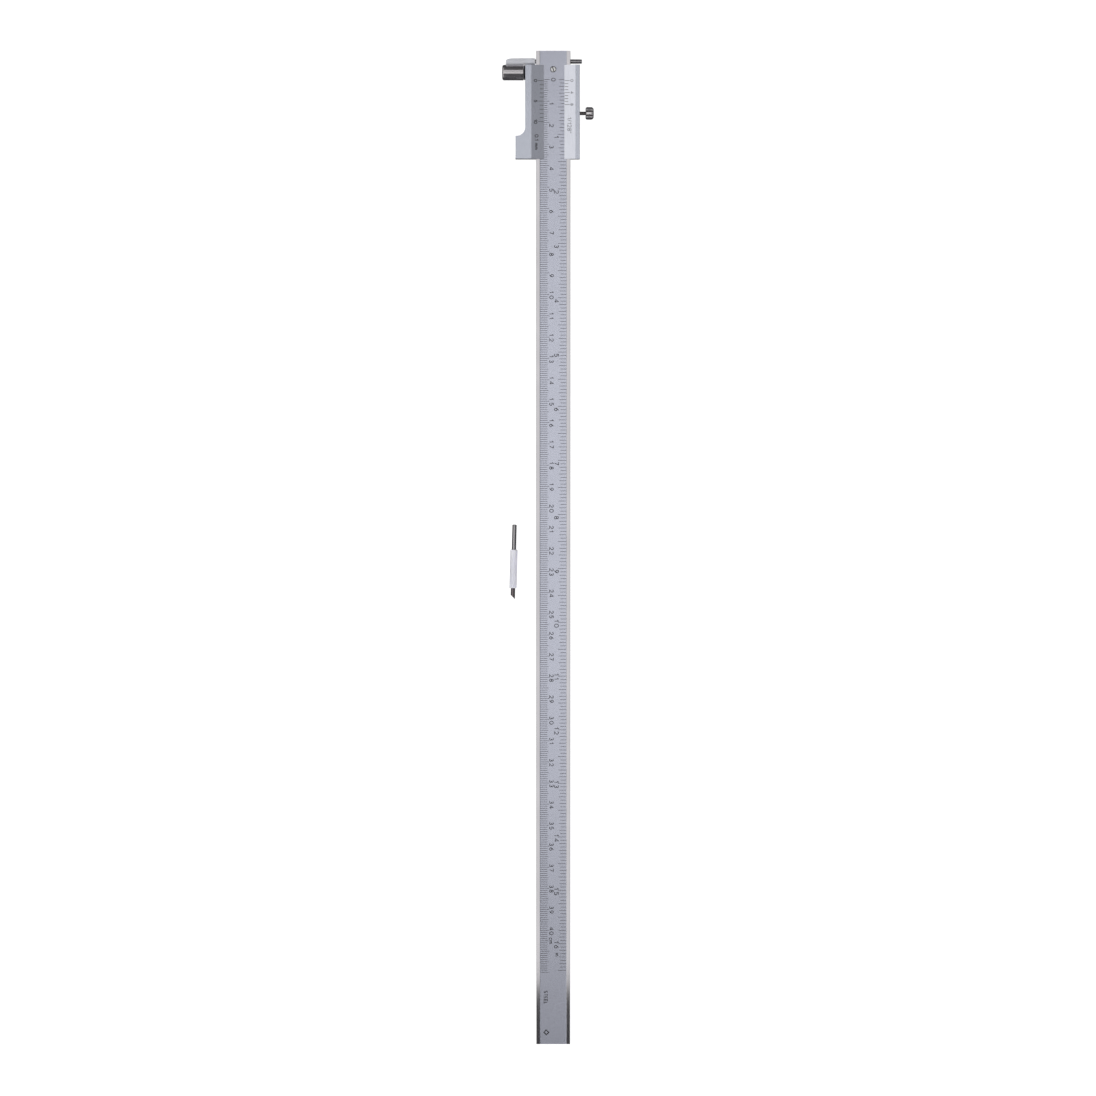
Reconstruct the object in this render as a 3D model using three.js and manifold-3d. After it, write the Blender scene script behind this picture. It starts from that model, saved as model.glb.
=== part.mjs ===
// Marking vernier caliper, in millimetres.
//
// A long beam carries a metric and an inch scale, and a scriber goes crosswise through its head. A C-shaped
// slider runs on the beam. It carries a guide roller and a thumb hook on its left side, and a lock screw on its
// right side. A spare scriber lies beside the beam.
//
// Beam coordinates: X across the beam from its centre line, Y along the beam from the zero of its scale, growing
// towards the scriber, and Z up from the surface that the slider's back lies on. The last lines move the origin
// to the middle of the footprint.

import * as THREE from 'three';
import { mergeVertices } from 'three/addons/utils/BufferGeometryUtils.js';
import Module from 'manifold-3d';

const wasm = await Module();
wasm.setup();

// ---------------------------------------------------------------- driving dimensions

const RUNNING_GAP = 0.05; // between a moving piece and what guides it
const PRESS_GAP = 0.02; // drawn between pieces that are pressed or brazed together
const PAST = 1; // how far a cutting tool reaches past the surface that it cuts
const ROUND_SEGMENTS = 32;

const BEAM = {
  width: 16,
  thickness: 4,
  headY: 13.4,
  tailY: -454.3,
  faceWidth: 12.6,
  faceDepth: 0.1,
  faceSlope: 0.2,
};

const SLIDER = {
  topY: 6.8,
  bottomY: -36.9,
  leftX: -13.1,
  rightX: 12.4,
  height: 8,
  backThickness: 2,
  leftBevelX: -10.2,
  rightBevelX: 10.35,
  windowLeftX: -4.4,
  windowRightX: 5.2,
  lipThickness: 0.3,
};

const HOOK = { leftX: -17.7, topY: -26.2, filletRadius: 4, toothPitch: 1, toothDepth: 0.4 };

const GIB = { thickness: 0.5, endMargin: 0.5, edgeMargin: 0.1, screwSeatDepth: 0.25 };

const GIB_SCREW = {
  positionsY: [-3.5, -28.5],
  radius: 1.25,
  dogRadius: 0.5,
  dogLength: 0.5,
  outerX: 11.9,
  slotWidth: 0.4,
  slotDepth: 0.6,
};

const LOCK = {
  axisY: -15.6,
  padRadius: 1.45,
  padThickness: 1.1,
  padBackOff: 0.02,
  pocketDepth: 1.85,
  studRadius: 0.95,
  neckRadius: 0.8,
  neckLength: 2.65,
  knobStartX: 15.1,
  knobEndX: 18.9,
  knobRadius: 2.95,
  knobInnerRound: 0.9,
  knobOuterRound: 1.3,
  knobTurnDegrees: 7.5,
  studInKnob: 2.8,
  flutes: 9,
  fluteRadius: 0.45,
  fluteDepth: 0.3,
};

const ROLLER = {
  axisY: 3.35,
  radius: 3.6,
  endX: -23.8,
  endRound: 0.9,
  innerChamfer: 0.3,
  boreRadius: 1.77,
  counterboreRadius: 2.4,
  counterboreDepth: 1.8,
};

const SPACER = { radius: 3.4, thickness: 0.6 };

const BUSH = { length: 2.8, inset: 0.2, outerInset: 0.1 };

const AXLE = {
  radius: 1.25,
  headRadius: 2.2,
  headLength: 1.2,
  threadRadius: 1,
  threadLength: 4.1,
  slotWidth: 0.5,
  slotDepth: 0.5,
};

const SCRIBER = {
  axisY: 8.5,
  rearX: 13.4,
  length: 35.1,
  radius: 1,
  rearChamfer: 0.2,
  tipLength: 8.7,
  bevelLength: 2,
};

const SLEEVE = {
  radius: 1.5,
  boreRadius: 1.05,
  startX: -8.5,
  endX: -22.1,
  taperLength: 3.9,
  taperDepth: 1.25,
};

const SPARE = {
  rearX: -18.2,
  rearY: -208.2,
  tiltDegrees: 1.4,
  sleeveStart: 11.8,
  sleeveLength: 18.1,
  sleeveRadius: 1.7,
};

const CLAMP = {
  axisY: 4.8,
  headRadius: 1.3,
  headHeight: 1,
  headChamfer: 0.2,
  recessRadius: 1.42,
  screwRadius: 0.8,
  length: 3.3,
  slotWidth: 0.4,
  slotDepth: 0.45,
  slotDegrees: 20,
  splitWidth: 0.4,
  splitEndY: 0.5,
};

// ---------------------------------------------------------------- levels and places that follow from them

const BEAM_BOTTOM = SLIDER.backThickness + RUNNING_GAP;
const BEAM_TOP = BEAM_BOTTOM + BEAM.thickness;
const FACE_Z = BEAM_TOP - BEAM.faceDepth;
const AXIS_Z = BEAM_BOTTOM + BEAM.thickness / 2;
const LIP_BOTTOM = BEAM_TOP + RUNNING_GAP;
const LIP_TOP = LIP_BOTTOM + SLIDER.lipThickness;
const CHANNEL_LEFT = -BEAM.width / 2 - RUNNING_GAP;
const GIB_X = BEAM.width / 2 + RUNNING_GAP;
const CHANNEL_RIGHT = GIB_X + GIB.thickness + 2 * RUNNING_GAP;

// ---------------------------------------------------------------- materials

function metal(color, roughness) {
  return new THREE.MeshStandardMaterial({ color, roughness, metalness: 1 });
}

function plastic(color, roughness) {
  return new THREE.MeshStandardMaterial({ color, roughness, metalness: 0 });
}

const SATIN_STEEL = metal(0xb4b6c0, 0.45);
const POLISHED_STEEL = metal(0x8d8b90, 0.15);
const SCREW_STEEL = metal(0x9a9aa0, 0.3);
const CARBIDE = metal(0x6c6666, 0.4);
const BRONZE = metal(0xa8793c, 0.4);
const BRASS = metal(0xc9a54a, 0.35);
const BLACK_OXIDE = metal(0x222226, 0.5);
const GREY_SLEEVE = plastic(0xb8bbc4, 0.5);
const WHITE_SLEEVE = plastic(0xdcdce8, 0.5);

// ---------------------------------------------------------------- solids

// A closed geometry as a Manifold solid. Triangles that merging has folded to a line are dropped.
function solidOf(geometry) {
  const bare = geometry.clone();
  bare.deleteAttribute('normal');
  bare.deleteAttribute('uv');
  const merged = mergeVertices(bare, 1e-4);
  const corners = Array.from(merged.index.array);
  const kept = [];
  for (let i = 0; i < corners.length; i += 3) {
    const [a, b, c] = corners.slice(i, i + 3);
    if (a !== b && b !== c && c !== a) kept.push(a, b, c);
  }
  return new wasm.Manifold(new wasm.Mesh({
    numProp: 3,
    vertProperties: merged.attributes.position.array,
    triVerts: new Uint32Array(kept),
  }));
}

function geometryOf(solid) {
  const mesh = solid.getMesh();
  const geometry = new THREE.BufferGeometry();
  geometry.setAttribute('position', new THREE.BufferAttribute(mesh.vertProperties, 3));
  geometry.setIndex(new THREE.BufferAttribute(mesh.triVerts, 1));
  geometry.computeVertexNormals();
  return geometry;
}

function cut(geometry, ...tools) {
  return geometryOf(tools.reduce((solid, tool) => solid.subtract(solidOf(tool)), solidOf(geometry)));
}

// A prism that stands on an outline in the XY plane, from bottom to top.
function prism(outline, bottom, top) {
  const geometry = new THREE.ExtrudeGeometry(outline, { depth: top - bottom, bevelEnabled: false });
  return geometry.translate(0, 0, bottom);
}

function prismOf(points, bottom, top) {
  return prism(new THREE.Shape(points.map(([x, y]) => new THREE.Vector2(x, y))), bottom, top);
}

// A bar along Y whose section is a list of (x, z) points.
function barAlongY(section, startY, endY) {
  const outline = new THREE.Shape(section.map(([x, z]) => new THREE.Vector2(x, z)));
  const geometry = new THREE.ExtrudeGeometry(outline, { depth: endY - startY, bevelEnabled: false });
  return geometry.rotateX(Math.PI / 2).translate(0, endY, 0);
}

// A turned piece about Y. Its profile is a list of (radius, y) points, in rising y along the outside.
function turned(profile) {
  return new THREE.LatheGeometry(profile.map(([r, y]) => new THREE.Vector2(r, y)), ROUND_SEGMENTS);
}

function rod(radius, startY, endY) {
  return turned([[0, startY], [radius, startY], [radius, endY], [0, endY]]);
}

function ring(innerRadius, outerRadius, startY, endY) {
  return turned([
    [innerRadius, startY],
    [outerRadius, startY],
    [outerRadius, endY],
    [innerRadius, endY],
    [innerRadius, startY],
  ]);
}

// Turned pieces are made about Y and then laid along another axis.
function alongX(geometry, y, z) {
  return geometry.rotateZ(-Math.PI / 2).translate(0, y, z);
}

function alongMinusX(geometry, x, y, z) {
  return geometry.rotateZ(Math.PI / 2).translate(x, y, z);
}

function alongZ(geometry, x, y) {
  return geometry.rotateX(Math.PI / 2).translate(x, y, 0);
}

function box(sizeX, sizeY, sizeZ, x, y, z) {
  return new THREE.BoxGeometry(sizeX, sizeY, sizeZ).translate(x, y, z);
}

// Points of an arc about a centre, from one angle to another, in degrees.
function arcPoints(centreX, centreY, radius, fromDegrees, toDegrees, steps) {
  return Array.from({ length: steps + 1 }, (_, i) => {
    const angle = THREE.MathUtils.degToRad(fromDegrees + ((toDegrees - fromDegrees) * i) / steps);
    return [centreX + radius * Math.cos(angle), centreY + radius * Math.sin(angle)];
  });
}

function mesh(name, geometry, material) {
  const made = new THREE.Mesh(geometry, material);
  made.name = name;
  return made;
}

// ---------------------------------------------------------------- beam and its clamp screw

// The scale face lies a little below two flat lands, so that the lands take the wear. Narrow slopes join them.
function beamBlank() {
  const edge = BEAM.width / 2;
  const land = BEAM.faceWidth / 2;
  const face = land - BEAM.faceSlope;
  const section = [
    [-edge, BEAM_BOTTOM],
    [edge, BEAM_BOTTOM],
    [edge, BEAM_TOP],
    [land, BEAM_TOP],
    [face, FACE_Z],
    [-face, FACE_Z],
    [-land, BEAM_TOP],
    [-edge, BEAM_TOP],
  ];
  return barAlongY(section, BEAM.tailY, BEAM.headY);
}

// The head is split at half its thickness, so that the screw can close it on the scriber.
function beamSplit() {
  const length = BEAM.headY + PAST - CLAMP.splitEndY;
  return box(BEAM.width + 2 * PAST, length, CLAMP.splitWidth, 0, CLAMP.splitEndY + length / 2, AXIS_Z);
}

function scriberHole() {
  const reach = BEAM.width / 2 + PAST;
  return alongX(rod(SCRIBER.radius + RUNNING_GAP, -reach, reach), SCRIBER.axisY, AXIS_Z);
}

function clampScrewHole() {
  const floor = FACE_Z - CLAMP.length - RUNNING_GAP;
  const seat = FACE_Z - CLAMP.headHeight - RUNNING_GAP;
  const profile = [
    [0, floor],
    [CLAMP.screwRadius + RUNNING_GAP, floor],
    [CLAMP.screwRadius + RUNNING_GAP, seat],
    [CLAMP.recessRadius, seat],
    [CLAMP.recessRadius, BEAM_TOP + PAST],
    [0, BEAM_TOP + PAST],
  ];
  return alongZ(turned(profile), 0, CLAMP.axisY);
}

function clampScrew() {
  const tip = FACE_Z - CLAMP.length;
  const seat = FACE_Z - CLAMP.headHeight;
  const profile = [
    [0, tip],
    [CLAMP.screwRadius - CLAMP.headChamfer, tip],
    [CLAMP.screwRadius, tip + CLAMP.headChamfer],
    [CLAMP.screwRadius, seat],
    [CLAMP.headRadius, seat],
    [CLAMP.headRadius, FACE_Z - CLAMP.headChamfer],
    [CLAMP.headRadius - CLAMP.headChamfer, FACE_Z],
    [0, FACE_Z],
  ];
  const slotLength = 2 * (CLAMP.headRadius + PAST);
  const slot = new THREE.BoxGeometry(CLAMP.slotWidth, slotLength, 2 * CLAMP.slotDepth);
  slot.rotateZ(THREE.MathUtils.degToRad(CLAMP.slotDegrees)).translate(0, CLAMP.axisY, FACE_Z);
  return cut(alongZ(turned(profile), 0, CLAMP.axisY), slot);
}

function beamAssembly() {
  const assembly = new THREE.Group();
  const beam = cut(beamBlank(), beamSplit(), scriberHole(), clampScrewHole());
  assembly.add(mesh('beam', beam, SATIN_STEEL));
  assembly.add(mesh('scriber_clamp_screw', clampScrew(), SCREW_STEEL));
  return assembly;
}

// ---------------------------------------------------------------- scribers
// A scriber is made along +Y from its rear end at y = 0. Its point is on the -X side of its tip.

function scriberShank() {
  const length = SCRIBER.length - SCRIBER.tipLength - PRESS_GAP;
  return turned([
    [0, 0],
    [SCRIBER.radius - SCRIBER.rearChamfer, 0],
    [SCRIBER.radius, SCRIBER.rearChamfer],
    [SCRIBER.radius, length],
    [0, length],
  ]);
}

function scriberTip() {
  const start = SCRIBER.length - SCRIBER.tipLength;
  const slope = SCRIBER.bevelLength / (2 * SCRIBER.radius);
  const reach = SCRIBER.radius + PAST;
  const bevel = prismOf(
    [
      [-reach, SCRIBER.length + PAST * slope],
      [reach, SCRIBER.length - SCRIBER.bevelLength - PAST * slope],
      [reach, SCRIBER.length + reach],
      [-reach, SCRIBER.length + reach],
    ],
    -reach,
    reach,
  );
  return cut(rod(SCRIBER.radius, start, SCRIBER.length), bevel);
}

// The mounted sleeve is cut at a slant on the bevelled side of the tip.
function mountedSleeve() {
  const start = SCRIBER.rearX - SLEEVE.startX;
  const end = SCRIBER.rearX - SLEEVE.endX;
  const slope = SLEEVE.taperLength / SLEEVE.taperDepth;
  const reach = SLEEVE.radius + PAST;
  const slant = prismOf(
    [
      [SLEEVE.radius - SLEEVE.taperDepth, end],
      [reach, end - SLEEVE.taperLength - PAST * slope],
      [reach, end + PAST],
      [SLEEVE.radius - SLEEVE.taperDepth, end + PAST],
    ],
    -reach,
    reach,
  );
  return cut(ring(SLEEVE.boreRadius, SLEEVE.radius, start, end), slant);
}

function mountedScriber() {
  const scriber = new THREE.Group();
  scriber.add(mesh('scriber_shank', scriberShank(), SCREW_STEEL));
  scriber.add(mesh('scriber_tip', scriberTip(), CARBIDE));
  scriber.add(mesh('scriber_sleeve', mountedSleeve(), GREY_SLEEVE));
  scriber.rotation.z = Math.PI / 2;
  scriber.position.set(SCRIBER.rearX, SCRIBER.axisY, AXIS_Z);
  return scriber;
}

function spareScriber() {
  const scriber = new THREE.Group();
  const sleeveEnd = SPARE.sleeveStart + SPARE.sleeveLength;
  const sleeve = ring(SLEEVE.boreRadius, SPARE.sleeveRadius, SPARE.sleeveStart, sleeveEnd);
  scriber.add(mesh('spare_scriber_shank', scriberShank(), SCREW_STEEL));
  scriber.add(mesh('spare_scriber_tip', scriberTip(), CARBIDE));
  scriber.add(mesh('spare_scriber_sleeve', sleeve, WHITE_SLEEVE));
  scriber.rotation.z = Math.PI - THREE.MathUtils.degToRad(SPARE.tiltDegrees);
  scriber.position.set(SPARE.rearX, SPARE.rearY, SPARE.sleeveRadius);
  return scriber;
}

// ---------------------------------------------------------------- slider

// The C-shaped section: a back, two side walls, and two bevelled lips that reach over the beam.
function sliderBlank() {
  const section = [
    [HOOK.leftX, 0],
    [SLIDER.rightX, 0],
    [SLIDER.rightX, SLIDER.height],
    [SLIDER.rightBevelX, SLIDER.height],
    [SLIDER.windowRightX, LIP_TOP],
    [SLIDER.windowRightX, LIP_BOTTOM],
    [CHANNEL_RIGHT, LIP_BOTTOM],
    [CHANNEL_RIGHT, SLIDER.backThickness],
    [CHANNEL_LEFT, SLIDER.backThickness],
    [CHANNEL_LEFT, LIP_BOTTOM],
    [SLIDER.windowLeftX, LIP_BOTTOM],
    [SLIDER.windowLeftX, LIP_TOP],
    [SLIDER.leftBevelX, SLIDER.height],
    [HOOK.leftX, SLIDER.height],
  ];
  return barAlongY(section, SLIDER.bottomY, SLIDER.topY);
}

// What is milled away on the left side, above the thumb hook.
function thumbCut() {
  const filletY = HOOK.topY + HOOK.filletRadius;
  const filletX = SLIDER.leftX - HOOK.filletRadius;
  const points = [
    [HOOK.leftX - PAST, HOOK.topY],
    ...arcPoints(filletX, filletY, HOOK.filletRadius, -90, 0, 8),
    [SLIDER.leftX, SLIDER.topY + PAST],
    [HOOK.leftX - PAST, SLIDER.topY + PAST],
  ];
  return prismOf(points, -PAST, SLIDER.height + PAST);
}

// V-shaped grooves down the hook's outer edge, for the thumb's grip.
function gripGrooves() {
  const teeth = Math.floor((HOOK.topY - SLIDER.bottomY) / HOOK.toothPitch);
  const comb = [[HOOK.leftX - PAST, HOOK.topY]];
  for (let i = 0; i < teeth; i += 1) {
    const crestY = HOOK.topY - i * HOOK.toothPitch;
    comb.push([HOOK.leftX, crestY]);
    comb.push([HOOK.leftX + HOOK.toothDepth, crestY - HOOK.toothPitch / 2]);
  }
  comb.push([HOOK.leftX, HOOK.topY - teeth * HOOK.toothPitch]);
  comb.push([HOOK.leftX - PAST, HOOK.topY - teeth * HOOK.toothPitch]);
  return prismOf(comb.reverse(), -PAST, SLIDER.height + PAST);
}

function axleHole() {
  const hole = rod(AXLE.threadRadius + RUNNING_GAP, -PAST, AXLE.threadLength + RUNNING_GAP);
  return alongX(hole, ROLLER.axisY, AXIS_Z).translate(SLIDER.leftX, 0, 0);
}

function lockHoles() {
  const pocket = rod(LOCK.padRadius + RUNNING_GAP, GIB_X, CHANNEL_RIGHT + LOCK.pocketDepth);
  const thread = rod(LOCK.studRadius + RUNNING_GAP, CHANNEL_RIGHT, SLIDER.rightX + PAST);
  return [alongX(pocket, LOCK.axisY, AXIS_Z), alongX(thread, LOCK.axisY, AXIS_Z)];
}

function gibScrewHole(y) {
  return alongX(rod(GIB_SCREW.radius + RUNNING_GAP, GIB_X, SLIDER.rightX + PAST), y, AXIS_Z);
}

function slider() {
  return cut(
    sliderBlank(),
    thumbCut(),
    gripGrooves(),
    axleHole(),
    ...lockHoles(),
    ...GIB_SCREW.positionsY.map(gibScrewHole),
  );
}

function gibStrip() {
  const outerX = GIB_X + GIB.thickness;
  const bottom = BEAM_BOTTOM + GIB.edgeMargin;
  const top = BEAM_TOP - GIB.edgeMargin;
  const section = [[GIB_X, bottom], [outerX, bottom], [outerX, top], [GIB_X, top]];
  const strip = barAlongY(section, SLIDER.bottomY + GIB.endMargin, SLIDER.topY - GIB.endMargin);
  const seat = rod(GIB_SCREW.dogRadius + RUNNING_GAP, outerX - GIB.screwSeatDepth, outerX + PAST);
  return cut(strip, ...GIB_SCREW.positionsY.map((y) => alongX(seat.clone(), y, AXIS_Z)));
}

// A set screw with a dog point that sits in the gib, and a slot in its outer end.
function gibScrew(y) {
  const dogX = GIB_X + GIB.thickness - GIB.screwSeatDepth + RUNNING_GAP;
  const bodyX = dogX + GIB_SCREW.dogLength;
  const profile = [
    [0, dogX],
    [GIB_SCREW.dogRadius, dogX],
    [GIB_SCREW.dogRadius, bodyX],
    [GIB_SCREW.radius, bodyX],
    [GIB_SCREW.radius, GIB_SCREW.outerX],
    [0, GIB_SCREW.outerX],
  ];
  const slotLength = 2 * (GIB_SCREW.radius + PAST);
  const slot = box(2 * GIB_SCREW.slotDepth, slotLength, GIB_SCREW.slotWidth, GIB_SCREW.outerX, y, AXIS_Z);
  return cut(alongX(turned(profile), y, AXIS_Z), slot);
}

function sliderAssembly() {
  const assembly = new THREE.Group();
  const [upperY, lowerY] = GIB_SCREW.positionsY;
  assembly.add(mesh('slider', slider(), SATIN_STEEL));
  assembly.add(mesh('gib_strip', gibStrip(), BRONZE));
  assembly.add(mesh('gib_screw_upper', gibScrew(upperY), SCREW_STEEL));
  assembly.add(mesh('gib_screw_lower', gibScrew(lowerY), SCREW_STEEL));
  return assembly;
}

// ---------------------------------------------------------------- lock screw

const PAD_X = CHANNEL_RIGHT + LOCK.padBackOff;
const STUD_X = PAD_X + LOCK.padThickness + PRESS_GAP;
const STUD_END_X = LOCK.knobStartX + LOCK.studInKnob;

function lockPad() {
  return alongX(rod(LOCK.padRadius, PAD_X, PAD_X + LOCK.padThickness), LOCK.axisY, AXIS_Z);
}

// The stud is threaded inside the slider, and a thinner neck joins it to the knob.
function lockStud() {
  const neckX = LOCK.knobStartX - LOCK.neckLength;
  return alongX(
    turned([
      [0, STUD_X],
      [LOCK.studRadius, STUD_X],
      [LOCK.studRadius, neckX],
      [LOCK.neckRadius, neckX],
      [LOCK.neckRadius, STUD_END_X],
      [0, STUD_END_X],
    ]),
    LOCK.axisY,
    AXIS_Z,
  );
}

// The knob's rounded blank: a disc whose two rims are quarter circles.
function knobBlank() {
  const inner = LOCK.knobInnerRound;
  const outer = LOCK.knobOuterRound;
  const profile = [
    [0, LOCK.knobStartX],
    ...arcPoints(LOCK.knobRadius - inner, LOCK.knobStartX + inner, inner, -90, 0, 4),
    ...arcPoints(LOCK.knobRadius - outer, LOCK.knobEndX - outer, outer, 0, 90, 4),
    [0, LOCK.knobEndX],
  ];
  return new THREE.LatheGeometry(profile.map(([r, y]) => new THREE.Vector2(r, y)), 4 * LOCK.flutes);
}

function knobFlute(index) {
  const angle = (2 * Math.PI * (index + 0.5)) / LOCK.flutes;
  const distance = LOCK.knobRadius - LOCK.fluteDepth + LOCK.fluteRadius;
  const length = LOCK.knobEndX - LOCK.knobStartX + 2 * PAST;
  const flute = new THREE.CylinderGeometry(LOCK.fluteRadius, LOCK.fluteRadius, length, 12);
  const middle = (LOCK.knobStartX + LOCK.knobEndX) / 2;
  return flute.translate(distance * Math.cos(angle), middle, distance * Math.sin(angle));
}

function lockKnob() {
  const flutes = Array.from({ length: LOCK.flutes }, (_, i) => knobFlute(i));
  const bore = rod(LOCK.neckRadius + PRESS_GAP, LOCK.knobStartX - PAST, STUD_END_X + PRESS_GAP);
  const knob = cut(knobBlank(), ...flutes, bore).rotateY(-THREE.MathUtils.degToRad(LOCK.knobTurnDegrees));
  return alongX(knob, LOCK.axisY, AXIS_Z);
}

function lockAssembly() {
  const assembly = new THREE.Group();
  assembly.add(mesh('lock_pad', lockPad(), BRASS));
  assembly.add(mesh('lock_stud', lockStud(), SCREW_STEEL));
  assembly.add(mesh('lock_knob', lockKnob(), SATIN_STEEL));
  return assembly;
}

// ---------------------------------------------------------------- guide roller
// Made along +Y from the slider's left side at y = 0, then laid along -X.

const ROLLER_END = SLIDER.leftX - ROLLER.endX;
const ROLLER_START = SPACER.thickness + RUNNING_GAP;
const COUNTERBORE_START = ROLLER_END - ROLLER.counterboreDepth;

function guideRoller() {
  const { radius, boreRadius, counterboreRadius, endRound, innerChamfer } = ROLLER;
  return turned([
    [boreRadius, ROLLER_START],
    [radius - innerChamfer, ROLLER_START],
    [radius, ROLLER_START + innerChamfer],
    ...arcPoints(radius - endRound, ROLLER_END - endRound, endRound, 0, 90, 5),
    [counterboreRadius, ROLLER_END],
    [counterboreRadius, COUNTERBORE_START],
    [boreRadius, COUNTERBORE_START],
    [boreRadius, ROLLER_START],
  ]);
}

function rollerBush(start) {
  return ring(AXLE.radius + RUNNING_GAP, ROLLER.boreRadius - PRESS_GAP, start, start + BUSH.length);
}

function rollerAxle() {
  const seat = COUNTERBORE_START + 2 * RUNNING_GAP;
  const head = seat + AXLE.headLength;
  const axle = turned([
    [0, -AXLE.threadLength],
    [AXLE.threadRadius, -AXLE.threadLength],
    [AXLE.threadRadius, 0],
    [AXLE.radius, 0],
    [AXLE.radius, seat],
    [AXLE.headRadius, seat],
    [AXLE.headRadius, head],
    [0, head],
  ]);
  const slot = box(2 * (AXLE.headRadius + PAST), 2 * AXLE.slotDepth, AXLE.slotWidth, 0, head, 0);
  return cut(axle, slot);
}

function rollerAssembly() {
  const assembly = new THREE.Group();
  const outerBushStart = COUNTERBORE_START - BUSH.outerInset - BUSH.length;
  const pieces = [
    ['roller_spacer', ring(AXLE.radius + RUNNING_GAP, SPACER.radius, 0, SPACER.thickness), BLACK_OXIDE],
    ['guide_roller', guideRoller(), POLISHED_STEEL],
    ['roller_bush_inner', rollerBush(ROLLER_START + BUSH.inset), BRONZE],
    ['roller_bush_outer', rollerBush(outerBushStart), BRONZE],
    ['roller_axle', rollerAxle(), SCREW_STEEL],
  ];
  for (const [name, geometry, material] of pieces) {
    assembly.add(mesh(name, alongMinusX(geometry, SLIDER.leftX, ROLLER.axisY, AXIS_Z), material));
  }
  return assembly;
}

// ---------------------------------------------------------------- the whole caliper

const caliper = new THREE.Group();
caliper.name = 'marking_vernier_caliper';
caliper.add(beamAssembly());
caliper.add(mountedScriber());
caliper.add(sliderAssembly());
caliper.add(lockAssembly());
caliper.add(rollerAssembly());
caliper.add(spareScriber());

// The origin is the middle of the footprint, on the surface that the caliper lies on.
const MIDDLE_X = (ROLLER.endX + LOCK.knobEndX) / 2;
const MIDDLE_Y = (BEAM.tailY + BEAM.headY) / 2;
caliper.position.set(-MIDDLE_X, -MIDDLE_Y, 0);

export default caliper;
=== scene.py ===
"""Looks of a marking vernier caliper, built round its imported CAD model.

Sizes are in millimetres in beam coordinates: X across the beam from its centre line, Y along it from the zero
of its scale, and Z up from the surface that it lies on. at() turns them into the frame's metres.
"""

import math

import bmesh
import bpy
from mathutils import Matrix, Vector


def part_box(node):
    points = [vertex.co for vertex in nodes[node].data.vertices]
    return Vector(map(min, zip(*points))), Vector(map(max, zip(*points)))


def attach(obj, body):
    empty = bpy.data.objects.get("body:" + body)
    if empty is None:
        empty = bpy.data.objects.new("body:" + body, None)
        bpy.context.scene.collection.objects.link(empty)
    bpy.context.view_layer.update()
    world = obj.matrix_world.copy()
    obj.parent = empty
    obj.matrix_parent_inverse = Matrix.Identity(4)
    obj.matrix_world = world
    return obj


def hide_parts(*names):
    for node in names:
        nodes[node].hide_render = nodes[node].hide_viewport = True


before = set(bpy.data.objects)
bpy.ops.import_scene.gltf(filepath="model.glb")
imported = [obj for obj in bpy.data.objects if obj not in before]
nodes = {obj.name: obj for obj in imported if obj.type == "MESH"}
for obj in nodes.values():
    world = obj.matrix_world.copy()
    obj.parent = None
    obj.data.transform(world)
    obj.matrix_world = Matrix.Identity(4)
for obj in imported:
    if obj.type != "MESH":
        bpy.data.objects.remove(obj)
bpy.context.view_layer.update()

MM = 0.001

# ---------------------------------------------------------------- driving dimensions

BEAM_HALF_WIDTH = 8
HEAD_LENGTH = 13.4
FACE_EDGE = 6.3
FACE_BELOW_LANDS = 0.1
WINDOW_LEFT = -4.4
WINDOW_RIGHT = 5.2
LEFT_BEVEL_TOP = -10.2
RIGHT_BEVEL_TOP = 10.35
SLIDER_HEIGHT = 8
LIP_TOP = 6.4

LINE = {"width": 0.2, "numeral": 0.33, "thin": 0.2, "bold": 0.5, "proud": 0.012, "sunk": 0.03}
METRIC = {"last": 420, "last_numeral": 40, "outer": -6.2, "inner": -2.7, "five": -2.25, "ten": -1.85,
          "zero": -1.7}
INCH_LENGTH = 25.4
INCH = {"last": 264, "outer": 6.25, "zero": 2.6, "parts": 16,
        "inner": {16: 2.2, 8: 2.2, 4: 2.6, 2: 2.9, 1: 3.4}}
METRIC_DIGITS = {"base": -1.7, "height": 1.75, "past_line": 0.7, "tens_before": 1.45, "zero_base": -0.8}
INCH_DIGITS = {"base": 0.6, "height": 1.9, "past_line": 0.75, "tens_before": 1.2}
METRIC_VERNIER = {"zero": -0.55, "pitch": 1.9, "marks": 11, "inner": -4.5, "outer": -6.3, "long": -7.0}
INCH_VERNIER = {"zero": -0.55, "pitch": 1.389, "marks": 9, "inner": 5.3, "outer": 7.0, "long": 7.65}
METRIC_VERNIER_DIGITS = {"base": -8.9, "height": 1.3}
INCH_VERNIER_DIGITS = {"base": 8.1, "height": 1.2}
LABELS = {
    "cm": {"base": -1.85, "start": -403.55, "height": 1.65},
    "in": {"base": 1.1, "start": -410.85, "height": 1.7},
    "STEEL": {"base": -4.3, "start": -428.9, "height": 1.55},
    "0.1 mm": {"base": -8.5, "start": -25.6, "height": 1.45},
    '1/128"': {"base": 6.7, "start": -17.6, "height": 1.7},
}
DIAMOND = {"x": -3.25, "y": -448.7, "half": 1.15}

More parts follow.
